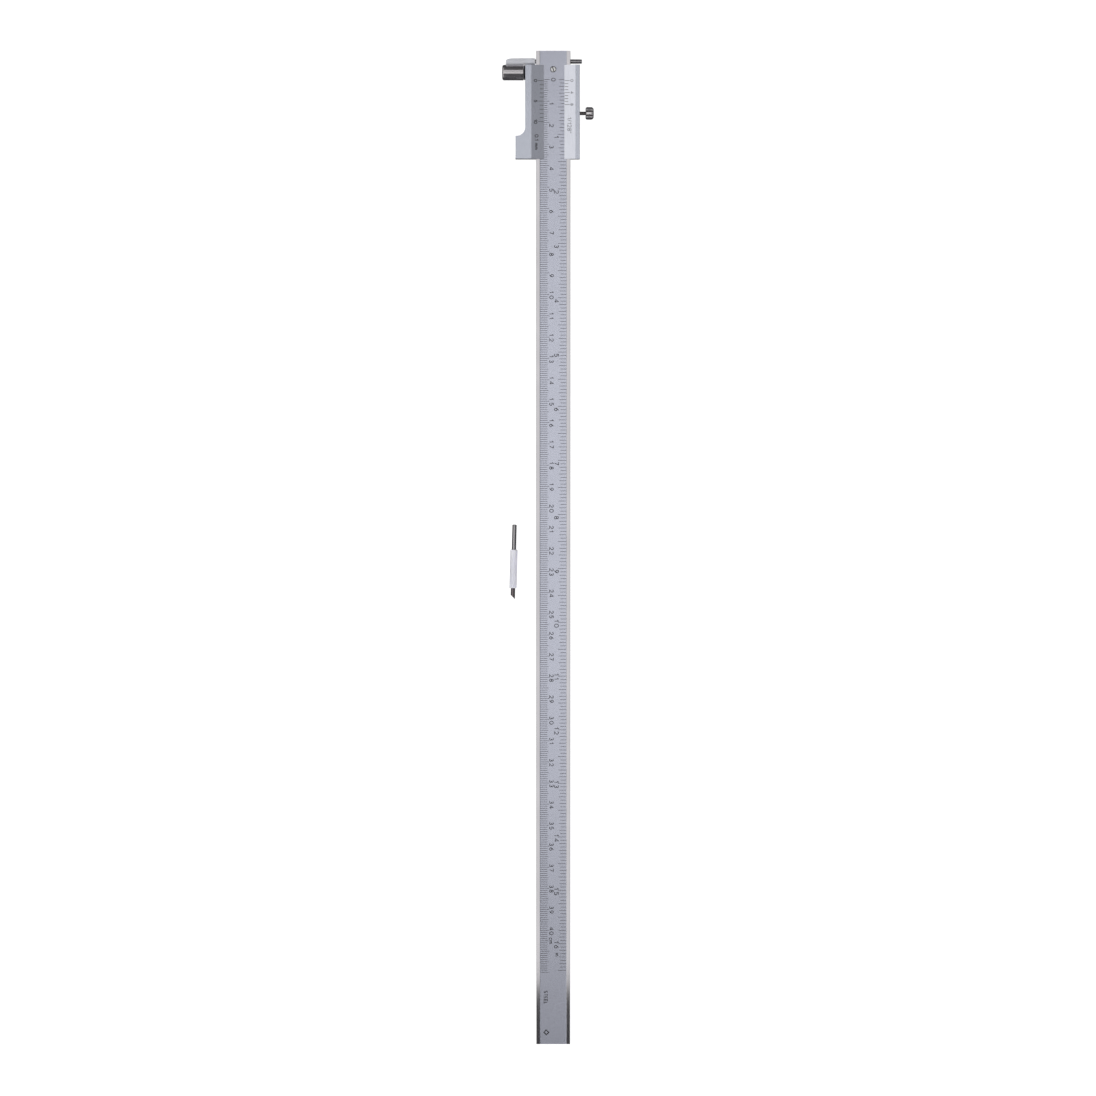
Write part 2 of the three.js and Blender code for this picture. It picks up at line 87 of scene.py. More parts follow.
ROLLER = {"y": 3.35, "radius": 3.6, "start": -13.75, "end": -23.8, "bore": 1.77, "counterbore": 2.4,
          "depth": 1.8, "rim": 0.9, "inner_chamfer": 0.3, "edge": 0.15}
SPACER = {"radius": 3.4, "bore": 1.3, "thickness": 0.6, "start": -13.1, "chamfer": 0.1}
SCRIBER = {"rear_x": 13.4, "y": 8.5, "radius": 1, "shank": 26.38, "tip_start": 26.4, "length": 35.1,
           "bevel": 2}
SLEEVE = {"radius": 1.5, "bore": 1.05, "start": 21.9, "end": 35.5, "taper_length": 3.9, "taper_depth": 1.25,
          "slants": 5}
SPARE = {"rear_x": -18.2, "rear_y": -208.2, "tilt": 1.4, "sleeve_start": 11.8, "sleeve_end": 29.9,
         "radius": 1.7}
KNOB = {"y": -15.6, "start": 15.1, "end": 18.9, "radius": 2.95, "inner_round": 0.9, "outer_round": 1.3,
        "turn": math.radians(27.5), "flutes": 9, "flute_radius": 0.45, "flute_depth": 0.3,
        "groove_edge": 0.08, "groove_from": 2.2}
# The clamp screw is painted near black as shade below a depth under the scale face.
CLAMP = {"y": 4.8, "recess": 1.42, "shade_below": 0.1}
STUD = {"start": 9.79, "thread_end": 12.45, "end": 17.9, "radius": 0.95, "neck": 0.8, "thread_pitch": 0.4}

CAMERA_PLACE = (0, 0.1005, 1.7412)
CAMERA_AIM = (0, 0.0015, 0.006)
SENSOR = 36
LENS = 121.46

# Lights are in metres. A radiance is what a mirror shows of a light.
SOFTBOX_HEIGHT = 4
MIDDLE_X = (-1.7, 1.4)
SIDE_Y = (-2, 2.4)
SOFTBOXES = {
    "softbox_middle": {"x": MIDDLE_X, "y": (-0.915, 0.58), "radiance": 0.95},
    "softbox_upper": {"x": MIDDLE_X, "y": (1.0, 2.9), "radiance": 0.8},
    "softbox_left": {"x": (-5.2, -1.7), "y": SIDE_Y, "radiance": 1.15, "color": (1, 0.985, 0.94)},
    "softbox_right": {"x": (1.4, 3.3), "y": SIDE_Y, "radiance": 0.33},
}
FILL = {"span": (-3, 3), "height": 4.2, "radiance": 1.35}
PANEL = {"distance": 4.0, "width": 5.0, "length": 3.4, "height": 1.9, "radiance": 0.5}
PANEL_AZIMUTHS = (45, 135, 225, 315)
ROOM_COLOR = (0.075, 0.075, 0.08, 1)
FLOOR = {"half": 3.0, "below": 0.05, "base": (0.2, 0.2, 0.2, 1), "roughness": 0.9, "glow": 0.95}

ROUND = 96
SHARP_ANGLE = math.radians(28)
CREASE_ANGLE = math.radians(12)

# ---------------------------------------------------------------- places

beam_low, beam_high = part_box("beam")
CENTRE_X = (beam_low.x + beam_high.x) / 2
ZERO_Y = beam_high.y - HEAD_LENGTH * MM
LAND_Z = beam_high.z / MM
FACE_Z = LAND_Z - FACE_BELOW_LANDS
AXIS_Z = (beam_low.z + beam_high.z) / 2 / MM


def at(x, y, z):
    """A point given in beam coordinates, in the frame's metres."""
    return Vector((CENTRE_X + x * MM, ZERO_Y + y * MM, z * MM))


def beam_x(point):
    return (point.x - CENTRE_X) / MM


# ---------------------------------------------------------------- materials


def new_material(name):
    material = bpy.data.materials.new(name)
    material.use_nodes = True
    return material, material.node_tree, material.node_tree.nodes["Principled BSDF"]


def grain(tree, stretch, scale, detail=4.0):
    """Noise in the piece's own place, stretched along one axis, for grinding and brushing lines."""
    place = tree.nodes.new("ShaderNodeTexCoord")
    mapping = tree.nodes.new("ShaderNodeMapping")
    mapping.inputs["Scale"].default_value = stretch
    noise = tree.nodes.new("ShaderNodeTexNoise")
    noise.inputs["Scale"].default_value = scale
    noise.inputs["Detail"].default_value = detail
    tree.links.new(place.outputs["Object"], mapping.inputs["Vector"])
    tree.links.new(mapping.outputs["Vector"], noise.inputs["Vector"])
    return noise.outputs["Fac"]


def spread(tree, value, low, high):
    """Maps a noise value to a range."""
    node = tree.nodes.new("ShaderNodeMapRange")
    node.inputs["From Min"].default_value = 0.3
    node.inputs["From Max"].default_value = 0.7
    node.inputs["To Min"].default_value = low
    node.inputs["To Max"].default_value = high
    tree.links.new(value, node.inputs["Value"])
    return node.outputs["Result"]


def tinted(tree, shader, value, dark, light):
    """Lets the base colour wander between two colours."""
    ramp = tree.nodes.new("ShaderNodeValToRGB")
    ramp.color_ramp.elements[0].position = 0.3
    ramp.color_ramp.elements[0].color = (*dark, 1)
    ramp.color_ramp.elements[1].position = 0.7
    ramp.color_ramp.elements[1].color = (*light, 1)
    tree.links.new(value, ramp.inputs["Fac"])
    tree.links.new(ramp.outputs["Color"], shader.inputs["Base Color"])


def bumped(tree, shader, value, height):
    bump = tree.nodes.new("ShaderNodeBump")
    bump.inputs["Distance"].default_value = height
    tree.links.new(value, bump.inputs["Height"])
    tree.links.new(bump.outputs["Normal"], shader.inputs["Normal"])


def scaled(color, factor):
    return tuple(min(1.0, c * factor) for c in color)


def steel(name, color, roughness, stretch=(1, 1, 1), scale=4000, depth=2e-6, wander=0.05, metallic=1.0):
    """Metal with fine lines: the grain moves its roughness and surface, and broad clouds move its colour.

    A coarsely milled surface that scatters light every way is a little less than wholly metallic.
    """
    material, tree, shader = new_material(name)
    shader.inputs["Metallic"].default_value = metallic
    lines = grain(tree, stretch, scale)
    clouds = grain(tree, (1, 1, 1), 60, 3)
    tinted(tree, shader, clouds, scaled(color, 1 - wander), scaled(color, 1 + wander))
    tree.links.new(spread(tree, lines, roughness * 0.85, roughness * 1.15), shader.inputs["Roughness"])
    bumped(tree, shader, lines, depth)
    return material


def plastic(name, color, roughness, soft):
    """Soft sleeve plastic: light goes a little way into it, and its surface is faintly mottled."""
    material, tree, shader = new_material(name)
    shader.inputs["Subsurface Weight"].default_value = soft
    shader.inputs["Subsurface Radius"].default_value = (0.6, 0.6, 0.7)
    shader.inputs["Subsurface Scale"].default_value = 0.5 * MM
    mottle = grain(tree, (1, 1, 1), 900, 5)
    clouds = grain(tree, (1, 1, 1), 150, 2)
    tinted(tree, shader, clouds, scaled(color, 0.95), scaled(color, 1.03))
    tree.links.new(spread(tree, mottle, roughness * 0.8, roughness * 1.2), shader.inputs["Roughness"])
    bumped(tree, shader, mottle, 1.2e-5)
    return material


ALONG_Y = (1, 0.02, 1)
ROUND_X = (1, 0.05, 0.05)
MILLED = 0.65

SATIN_FACE = steel("satin_scale_face", (0.555, 0.57, 0.655), 0.25, (1, 1, 1), 9000, 1e-6, 0.015)
GROUND_LAND = steel("ground_land", (0.56, 0.545, 0.565), 0.05, ALONG_Y, 5000, 1e-7)
GROUND_SIDE = steel("ground_side", (0.6, 0.6, 0.62), 0.3, ALONG_Y, 4000, 2e-6, metallic=MILLED)
SLIDER_FLAT = steel("slider_satin", (0.595, 0.62, 0.695), 0.26, (1, 1, 1), 9000, 1e-6, 0.015)
SLIDER_BEVEL = steel("slider_bevel", (0.61, 0.63, 0.71), 0.3, ALONG_Y, 7000, 1e-6, 0.02)
SLIDER_EDGE = steel("slider_milled_side", (0.6, 0.61, 0.64), 0.33, ALONG_Y, 4500, 4e-6, metallic=MILLED)
KNOB_STEEL = steel("knob_steel", (0.86, 0.84, 0.85), 0.36, ROUND_X, 6000, 3e-6)
# Dark steel of the lock screw's stud; the knob's grooves also take it as painted shade.
NECK_STEEL_AND_GROOVE_SHADE = steel("dark_turned_steel_and_groove_shade", (0.15, 0.135, 0.135), 0.25, (1, 1, 1), 5000, 2e-6)
SCREW_STEEL = steel("turned_screw_steel", (0.5, 0.5, 0.53), 0.25, (1, 1, 1), 5000, 2e-6)
BRIGHT_SCREW = steel("bright_screw_head", (0.8, 0.8, 0.8), 0.22, (1, 1, 0.1), 5000, 2e-6)
SCRIBER_STEEL = steel("scriber_steel", (0.36, 0.35, 0.365), 0.22, (1, 1, 1), 5000, 2e-6)
CARBIDE = steel("ground_carbide", (0.2, 0.17, 0.18), 0.34, (1, 1, 1), 7000, 3e-6)
ROLLER_STEEL = steel("roller_steel", (0.6, 0.58, 0.59), 0.23, ROUND_X, 5000, 2e-6)
BRONZE = steel("machined_bronze", (0.55, 0.37, 0.18), 0.35, ALONG_Y, 4000, 3e-6)
BRASS = steel("turned_brass", (0.68, 0.52, 0.24), 0.3, ROUND_X, 4000, 3e-6)
# Near black painted shade for the recess round the clamp screw and for that screw's slot and sides.
PAINTED_RECESS_SHADE = steel("painted_recess_shade", (0.06, 0.06, 0.065), 0.6, (1, 1, 1), 3000, 4e-6)
# Near black for the thin ring between roller and slider, as dark as the shaded gap there.
NEAR_BLACK_RING = steel("black_oxide", (0.025, 0.025, 0.03), 0.4, (1, 1, 1), 4000, 3e-6)
GREY_SLEEVE = plastic("grey_sleeve", (0.56, 0.57, 0.61), 0.45, 0.25)
WHITE_SLEEVE = plastic("white_sleeve", (0.78, 0.78, 0.85), 0.45, 0.35)


def engraving_material():
    """Matt black filling, a little uneven, as wiped into engraved lines."""
    material, tree, shader = new_material("engraving_black")
    uneven = grain(tree, (1, 1, 1), 1500, 5)
    tinted(tree, shader, uneven, (0.02, 0.02, 0.025), (0.06, 0.06, 0.07))
    tree.links.new(spread(tree, uneven, 0.45, 0.7), shader.inputs["Roughness"])
    bumped(tree, shader, uneven, 4e-6)
    return material


ENGRAVING = engraving_material()

# ---------------------------------------------------------------- meshes


def finish_piece(name, mesh_data, materials, body, replaced=(), keep_creases=False):
    """Makes an object of a bmesh and gives it to a body. It is smooth but for its sharp edges or creases."""
    bmesh.ops.recalc_face_normals(mesh_data, faces=mesh_data.faces)
    for face in mesh_data.faces:
        face.smooth = True
    data = bpy.data.meshes.new(name)
    mesh_data.to_mesh(data)
    mesh_data.free()
    for material in materials:
        data.materials.append(material)
    if not keep_creases:
        data.set_sharp_from_angle(angle=SHARP_ANGLE)
    piece = bpy.data.objects.new(name, data)
    bpy.context.scene.collection.objects.link(piece)
    if keep_creases:
        weighted = piece.modifiers.new("flat_faces_stay_flat", "WEIGHTED_NORMAL")
        weighted.keep_sharp = True
        weighted.weight = 100
    if replaced:
        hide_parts(*replaced)
    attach(piece, body)
    return piece


def lathe(profile, radius_at=None, angles=None):
    """A turned mesh about the local Y axis, in metres, from (radius, y) points in millimetres.

    A profile whose ends are off the axis closes on itself. radius_at trims a radius at an angle.
    """
    angles = angles or [2 * math.pi * i / ROUND for i in range(ROUND)]
    turned = bmesh.new()
    rings = []
    for radius, y in profile:
        if radius == 0:
            rings.append([turned.verts.new((0, y * MM, 0))])
            continue
        ring = []
        for angle in angles:
            r = radius_at(radius, angle) if radius_at else radius
            ring.append(turned.verts.new((r * math.cos(angle) * MM, y * MM, r * math.sin(angle) * MM)))
        rings.append(ring)
    pairs = list(zip(rings, rings[1:]))
    if profile[0][0] > 0:
        pairs.append((rings[-1], rings[0]))
    for first, second in pairs:
        join_rings(turned, first, second, len(angles))
    return turned


def join_rings(mesh_data, first, second, count):
    for i in range(count):
        j = (i + 1) % count
        corners = [first[i % len(first)], first[j % len(first)]]
        corners += [second[j % len(second)], second[i % len(second)]]
        kept = list(dict.fromkeys(corners))
        mesh_data.faces.new(kept)


def rounded(radius, y, size, start_angle, steps=5):
    """Profile points of a quarter round whose centre is at (radius, y), from an angle in degrees."""
    points = []
    for i in range(steps + 1):
        angle = math.radians(start_angle + 90 * i / steps)
        points.append((radius + size * math.cos(angle), y + size * math.sin(angle)))
    return points


def toward_minus_x(x, y, z):
    return Matrix.Translation(at(x, y, z)) @ Matrix.Rotation(math.pi / 2, 4, "Z")


def toward_plus_x(x, y, z):
    return Matrix.Translation(at(x, y, z)) @ Matrix.Rotation(-math.pi / 2, 4, "Z")


def sliced(mesh_data, point, normal):
    """Cuts away what lies beyond a plane, given in local millimetres, and closes the cut."""
    parts = mesh_data.verts[:] + mesh_data.edges[:] + mesh_data.faces[:]
    bmesh.ops.bisect_plane(
        mesh_data, geom=parts, plane_co=Vector(point) * MM, plane_no=Vector(normal), clear_outer=True,
        dist=1e-8,
    )
    rim = [edge for edge in mesh_data.edges if edge.is_boundary]
    bmesh.ops.triangle_fill(mesh_data, edges=rim, use_beauty=True, use_dissolve=True)
    return mesh_data


# ---------------------------------------------------------------- beam and slider


def welded(node):
    """A copy of a CAD node's mesh with shared corners and with flat faces in one piece."""
    copy = bmesh.new()
    copy.from_mesh(nodes[node].data)
    bmesh.ops.remove_doubles(copy, verts=copy.verts, dist=2e-7)
    bmesh.ops.dissolve_limit(
        copy, angle_limit=math.radians(0.2), verts=copy.verts, edges=copy.edges, delimit={"NORMAL"}
    )
    return copy


def creased(mesh_data):
    """Keeps every corner between two flat faces crisp, down to the shallow steps and bevels."""
    for edge in mesh_data.edges:
        edge.smooth = not edge.is_manifold or edge.calc_face_angle() < CREASE_ANGLE


def eased(mesh_data, chosen, width):
    """Rounds the chosen sharp edges to a width in millimetres."""
    edges = [e for e in mesh_data.edges if e.is_manifold and e.calc_face_angle() > SHARP_ANGLE and chosen(e)]
    bmesh.ops.bevel(
        mesh_data, geom=edges, offset=width * MM, offset_type="OFFSET", segments=3, profile=0.5,
        affect="EDGES", clamp_overlap=False, material=-1,
    )


def long_edge(edge):
    return edge.calc_length() > 3 * MM


def beam_outer_edge(edge):
    """The beam's long outer corners, but not the steps beside the face or the split's thin edges."""
    middle = (edge.verts[0].co + edge.verts[1].co) / 2
    near_side = abs(abs(beam_x(middle)) - BEAM_HALF_WIDTH) < 0.01
    at_skin = min(abs(middle.z - beam_low.z), abs(middle.z - beam_high.z)) < 0.01 * MM
    return long_edge(edge) and near_side and at_skin


def paint_faces(mesh_data, choose):
    for face in mesh_data.faces:
        face.material_index = choose(face)


def beam_surface(face):
    """0 for the satin scale face, 1 for both lands, 2 for sides, ends and back, 3 for painted shade in the
    screw's recess.
    """
    middle = face.calc_center_median()
    from_screw = middle.xy - at(0, CLAMP["y"], 0).xy
    # Faces of the recess round the clamp screw get painted shade.
    if from_screw.length < (CLAMP["recess"] + 0.02) * MM and middle.z > AXIS_Z * MM:
        return 3
    if face.normal.z < 0.5:
        return 2
    return 1 if abs(beam_x(middle)) > FACE_EDGE - 0.01 else 0


def build_beam():
    body = welded("beam")
    creased(body)
    eased(body, beam_outer_edge, 0.15)
    body.normal_update()
    paint_faces(body, beam_surface)
    materials = [SATIN_FACE, GROUND_LAND, GROUND_SIDE, PAINTED_RECESS_SHADE]
    finish_piece("beam_bar", body, materials, "beam", ["beam"], keep_creases=True)


def slider_outer_edge(edge):
    """The slider's long corners on its back and top, but not its thin lips beside the window."""
    middle = (edge.verts[0].co + edge.verts[1].co) / 2
    x = beam_x(middle)
    outside = x < LEFT_BEVEL_TOP or x > RIGHT_BEVEL_TOP - 0.1
    return long_edge(edge) and outside


def slider_surface(face):
    """0 for the flat tops, 1 for the two bevels, 2 for sides, ends and back."""
    x = beam_x(face.calc_center_median())
    if face.normal.z < 0.6:
        return 2
    return 1 if LEFT_BEVEL_TOP < x < RIGHT_BEVEL_TOP and face.normal.z < 0.99 else 0


def build_slider():
    body = welded("slider")
    creased(body)
    eased(body, slider_outer_edge, 0.12)
    body.normal_update()
    paint_faces(body, slider_surface)
    materials = [SLIDER_FLAT, SLIDER_BEVEL, SLIDER_EDGE]
    finish_piece("slider_carriage", body, materials, "slider", ["slider"], keep_creases=True)


# ---------------------------------------------------------------- scale marks


def level(z):
    """A flat face: takes a plan point and a height over the face, and gives the point in metres."""
    return lambda x, y, height: at(x, y, z + height)


def slope(x_low, z_low, x_high, z_high):
    """A bevel that rises from one X to another."""
    rise = (z_high - z_low) / (x_high - x_low)
    normal = Vector((-rise, 0, 1)).normalized()

    def place(x, y, height):
        z = z_low + rise * (x - x_low)
        return at(x + normal.x * height, y, z + normal.z * height)

    return place


FACE = level(FACE_Z)
LEFT_BEVEL = slope(WINDOW_LEFT, LIP_TOP, LEFT_BEVEL_TOP, SLIDER_HEIGHT)
RIGHT_BEVEL = slope(WINDOW_RIGHT, LIP_TOP, RIGHT_BEVEL_TOP, SLIDER_HEIGHT)


def stroke(mesh_data, points, surface, width=LINE["width"]):
    """A closed thin bar that follows plan points on a surface. It is a loop if it ends where it starts."""
    loop = len(points) > 2 and (Vector(points[0]) - Vector(points[-1])).length < 1e-6
    path = [Vector(p) for p in (points[:-1] if loop else points)]
    count = len(path)
    rings = []
    for i, point in enumerate(path):
        before = path[(i - 1) % count] if loop or i > 0 else None
        after = path[(i + 1) % count] if loop or i < count - 1 else None
        steps = [(point - before).normalized()] if before is not None else []
        steps += [(after - point).normalized()] if after is not None else []
        along = sum(steps, Vector((0, 0))).normalized()
        side = Vector((-along.y, along.x))
        mitre = 1 / max(0.5, along.dot(steps[0]))
        left = point + side * (width / 2 * mitre)
        right = point - side * (width / 2 * mitre)
        corners = [(left, LINE["proud"]), (right, LINE["proud"])]
        corners += [(right, -LINE["sunk"]), (left, -LINE["sunk"])]
        rings.append([mesh_data.verts.new(surface(p.x, p.y, height)) for p, height in corners])
    for first, second in zip(rings, rings[1:] + (rings[:1] if loop else [])):
        join_rings(mesh_data, first, second, 4)
    if not loop:
        mesh_data.faces.new(rings[0][::-1])
        mesh_data.faces.new(rings[-1])


def arc(x, y, radius_x, radius_y, start, end, steps=14):
    """Points of an elliptical arc in a glyph, from one angle to another in degrees."""
    points = []
    for i in range(steps + 1):
        angle = math.radians(start + (end - start) * i / steps)
        points.append((x + radius_x * math.cos(angle), y + radius_y * math.sin(angle)))
    return points


def flipped(strokes, width):
    """A glyph turned half round in its box."""
    return [[(width - x, 1 - y) for x, y in line] for line in strokes]


def hump(x, width, height):
    """The arch of an n or m, with its right leg."""
    return arc(x + width / 2, height - width / 2, width / 2, width / 2, 180, 0, 8) + [(x + width, 0)]


SIX = [
    arc(0.38, 0.32, 0.32, 0.32, 0, 360, 20),
    [(0.6, 1.0), (0.35, 0.82)] + arc(0.38, 0.32, 0.32, 0.38, 130, 185, 6),
]

# Engraver's single-line glyphs, each a width and its strokes, on a baseline at 0 and with capitals 1 high.
GLYPHS = {
    "0": (0.84, [arc(0.42, 0.5, 0.4, 0.5, 0, 360, 24)]),
    "1": (0.4, [[(0.06, 0.72), (0.34, 1.0), (0.34, 0.0)]]),
    "2": (0.76, [arc(0.38, 0.68, 0.32, 0.32, 165, -35) + [(0.04, 0.0), (0.76, 0.0)]]),
    "3": (0.72, [arc(0.34, 0.75, 0.27, 0.25, 150, -80) + arc(0.34, 0.26, 0.31, 0.26, 80, -150)]),
    "4": (0.8, [[(0.58, 0.0), (0.58, 1.0), (0.02, 0.3), (0.8, 0.3)]]),
    "5": (0.74, [[(0.68, 1.0), (0.16, 1.0), (0.1, 0.54)] + arc(0.36, 0.33, 0.34, 0.33, 130, -150)]),
    "6": (0.72, SIX),
    "7": (0.72, [[(0.02, 1.0), (0.7, 1.0), (0.26, 0.0)]]),
    "8": (0.74, [arc(0.37, 0.76, 0.26, 0.24, -90, 270, 20), arc(0.37, 0.26, 0.33, 0.26, 90, 450, 20)]),
    "9": (0.72, flipped(SIX, 0.72)),
    "c": (0.56, [arc(0.32, 0.33, 0.28, 0.33, 45, 315)]),
    "m": (0.9, [[(0.04, 0.0), (0.04, 0.66)], hump(0.04, 0.4, 0.66), hump(0.44, 0.4, 0.66)]),
    "n": (0.5, [[(0.04, 0.0), (0.04, 0.66)], hump(0.04, 0.42, 0.66)]),
    "i": (0.12, [[(0.06, 0.0), (0.06, 0.66)], [(0.06, 0.85), (0.06, 1.0)]]),
    ".": (0.14, [[(0.07, 0.0), (0.07, 0.14)]]),
    "/": (0.46, [[(0.0, -0.08), (0.44, 1.08)]]),
    '"': (0.3, [[(0.04, 0.7), (0.04, 1.0)], [(0.26, 0.7), (0.26, 1.0)]]),
    " ": (0.4, []),
    "S": (0.66, [arc(0.33, 0.75, 0.29, 0.25, 30, 250) + arc(0.33, 0.25, 0.31, 0.25, 70, -150)]),
    "T": (0.66, [[(0.0, 1.0), (0.66, 1.0)], [(0.33, 1.0), (0.33, 0.0)]]),
    "E": (0.58, [[(0.58, 1.0), (0.04, 1.0), (0.04, 0.0), (0.58, 0.0)], [(0.04, 0.52), (0.48, 0.52)]]),
    "L": (0.54, [[(0.04, 1.0), (0.04, 0.0), (0.54, 0.0)]]),
}
LETTER_GAP = 0.24


def text_length(text, height):
    return sum(GLYPHS[c][0] for c in text) * height + LETTER_GAP * height * (len(text) - 1)


def write(mesh_data, text, base_x, start_y, height, surface, width=LINE["numeral"]):
    """Engraves text that reads towards -Y, with the tops of its letters towards +X."""
    y = start_y
    for character in text:
        glyph_width, strokes = GLYPHS[character]
        for line in strokes:
            stroke(mesh_data, [(base_x + v * height, y - u * height) for u, v in line], surface, width)
        y -= (glyph_width + LETTER_GAP) * height


def label(engraved, text, surface, width=LINE["numeral"]):
    """Writes one of the fixed texts in its own place."""
    place_of = LABELS[text]
    write(engraved, text, place_of["base"], place_of["start"], place_of["height"], surface, width)


def marks(name, body, *draw):
    """One piece of engraving, drawn by one or more functions."""
    engraved = bmesh.new()
    for function in draw:
        function(engraved)
    finish_piece(name, engraved, [ENGRAVING], body)


def metric_ticks(engraved):
    for mm in range(1, METRIC["last"] + 1):
        inner = METRIC["ten"] if mm % 10 == 0 else METRIC["five"] if mm % 5 == 0 else METRIC["inner"]
        stroke(engraved, [(METRIC["outer"], -mm), (inner, -mm)], FACE)


def zero_line(engraved):
    stroke(engraved, [(METRIC["outer"], 0), (METRIC["zero"], 0)], FACE)
    stroke(engraved, [(INCH["zero"], 0), (INCH["outer"], 0)], FACE)


def inch_ticks(engraved):
    for i in range(1, INCH["last"] + 1):
        step = next(s for s in INCH["inner"] if i % s == 0)
        y = -i * INCH_LENGTH / INCH["parts"]
        stroke(engraved, [(INCH["inner"][step], y), (INCH["outer"], y)], FACE)


def metric_numerals(engraved):
    base, height = METRIC_DIGITS["base"], METRIC_DIGITS["height"]
    write(engraved, "0", METRIC_DIGITS["zero_base"], GLYPHS["0"][0] / 2 * height, height, FACE)
    for cm in range(1, METRIC["last_numeral"] + 1):
        line_y = -10 * cm
        text = str(cm)
        write(engraved, text[-1], base, line_y - METRIC_DIGITS["past_line"], height, FACE)
        if len(text) == 2:
            write(engraved, text[0], base, line_y + METRIC_DIGITS["tens_before"], height, FACE)
    label(engraved, "cm", FACE)


def inch_numerals(engraved):
    base, height = INCH_DIGITS["base"], INCH_DIGITS["height"]
    for inch in range(1, INCH["last"] // INCH["parts"] + 1):
        line_y = -INCH_LENGTH * inch
        text = str(inch)
        write(engraved, text[-1], base, line_y - INCH_DIGITS["past_line"], height, FACE)
        if len(text) == 2:
            write(engraved, text[0], base, line_y + INCH_DIGITS["tens_before"], height, FACE)
    label(engraved, "in", FACE)


def end_marks(engraved):
    label(engraved, "STEEL", FACE)
    x, y, half = DIAMOND["x"], DIAMOND["y"], DIAMOND["half"]
    diamond = [(x - half, y), (x, y + half), (x + half, y), (x, y - half), (x - half, y)]
    stroke(engraved, diamond, FACE, LINE["bold"])


def vernier_ticks(scale, surface, long_every):
    def draw(engraved):
        for i in range(scale["marks"]):
            y = scale["zero"] - i * scale["pitch"]
            outer = scale["long"] if i % long_every == 0 else scale["outer"]
            stroke(engraved, [(scale["inner"], y), (outer, y)], surface)
    return draw


def vernier_digits(engraved, scale, digits, every, surface, width):
    """Numbers beside every so many lines of a vernier, each centred on its line."""
    base, height = digits["base"], digits["height"]
    for i in range(0, scale["marks"], every):
        y = scale["zero"] - i * scale["pitch"]
        write(engraved, str(i), base, y + text_length(str(i), height) / 2, height, surface, width)


def metric_vernier_text(engraved):
    vernier_digits(engraved, METRIC_VERNIER, METRIC_VERNIER_DIGITS, 5, LEFT_BEVEL, LINE["numeral"])
    label(engraved, "0.1 mm", LEFT_BEVEL)


def inch_vernier_text(engraved):
    vernier_digits(engraved, INCH_VERNIER, INCH_VERNIER_DIGITS, 4, RIGHT_BEVEL, LINE["thin"])
    label(engraved, '1/128"', RIGHT_BEVEL, LINE["thin"])


def build_marks():
    marks("metric_scale_lines", "beam", zero_line, metric_ticks)
    marks("inch_scale_lines", "beam", inch_ticks)
    marks("metric_scale_numerals", "beam", metric_numerals)
    marks("inch_scale_numerals", "beam", inch_numerals)
    marks("end_marks", "beam", end_marks)
    marks("metric_vernier_lines", "slider", vernier_ticks(METRIC_VERNIER, LEFT_BEVEL, 5))
    marks("metric_vernier_text", "slider", metric_vernier_text)
    marks("inch_vernier_lines", "slider", vernier_ticks(INCH_VERNIER, RIGHT_BEVEL, 4))
    marks("inch_vernier_text", "slider", inch_vernier_text)


# ---------------------------------------------------------------- scribers


def shank_mesh():
    end, radius = SCRIBER["shank"], SCRIBER["radius"]
    return lathe([(0, 0), (radius - 0.2, 0), (radius, 0.2), (radius, end), (0, end)])


def tip_mesh():
    """The hard tip, ground off at a slant on its +X side, so that its point is on its -X side."""
    start, end, radius = SCRIBER["tip_start"], SCRIBER["length"], SCRIBER["radius"]
    tip = lathe([(0, start), (radius, start), (radius, end), (0, end)])
    return sliced(tip, (-radius, end, 0), (SCRIBER["bevel"], 2 * radius, 0))


def sleeve_mesh(start, end, outer, easing=0.2):
    """A short tube with softly rounded ends."""
    inner = SLEEVE["bore"]
    return lathe(
        [(inner, start)]
        + rounded(outer - easing, start + easing, easing, -90)
        + rounded(outer - easing, end - easing, easing, 0)
        + [(inner, end)]
    )


def slanted_sleeve():
    """The mounted sleeve is pared away on one side towards its end, in slants that steepen into a curve."""
    end, radius = SLEEVE["end"], SLEEVE["radius"]
    length, depth = SLEEVE["taper_length"], SLEEVE["taper_depth"]
    sleeve = sleeve_mesh(SLEEVE["start"], end, radius)
    for i in range(1, SLEEVE["slants"] + 1):
        turn = math.radians(90 * i / (SLEEVE["slants"] + 1))
        point = (radius - depth * (1 - math.cos(turn)), end - length * (1 - math.sin(turn)), 0)
        sliced(sleeve, point, (length * math.cos(turn), depth * math.sin(turn), 0))
    return sleeve


def place(mesh_data, matrix):
    bmesh.ops.transform(mesh_data, matrix=matrix, verts=mesh_data.verts)
    return mesh_data


def build_scribers():
    mounted = toward_minus_x(SCRIBER["rear_x"], SCRIBER["y"], AXIS_Z)
    finish_piece("mounted_shank", place(shank_mesh(), mounted), [SCRIBER_STEEL], "scriber",
                 ["scriber_shank"])
    finish_piece("mounted_tip", place(tip_mesh(), mounted), [CARBIDE], "scriber", ["scriber_tip"])
    finish_piece("mounted_sleeve", place(slanted_sleeve(), mounted), [GREY_SLEEVE], "scriber_sleeve",
                 ["scriber_sleeve"])
    turn = Matrix.Rotation(math.pi - math.radians(SPARE["tilt"]), 4, "Z")
    spare = Matrix.Translation(at(SPARE["rear_x"], SPARE["rear_y"], SPARE["radius"])) @ turn
    finish_piece("loose_shank", place(shank_mesh(), spare), [SCRIBER_STEEL], "spare_scriber",
                 ["spare_scriber_shank"])
    finish_piece("loose_tip", place(tip_mesh(), spare), [CARBIDE], "spare_scriber",
                 ["spare_scriber_tip"])
    sleeve = sleeve_mesh(SPARE["sleeve_start"], SPARE["sleeve_end"], SPARE["radius"])
    finish_piece("loose_sleeve", place(sleeve, spare), [WHITE_SLEEVE], "spare_sleeve",
                 ["spare_scriber_sleeve"])


# ---------------------------------------------------------------- guide roller


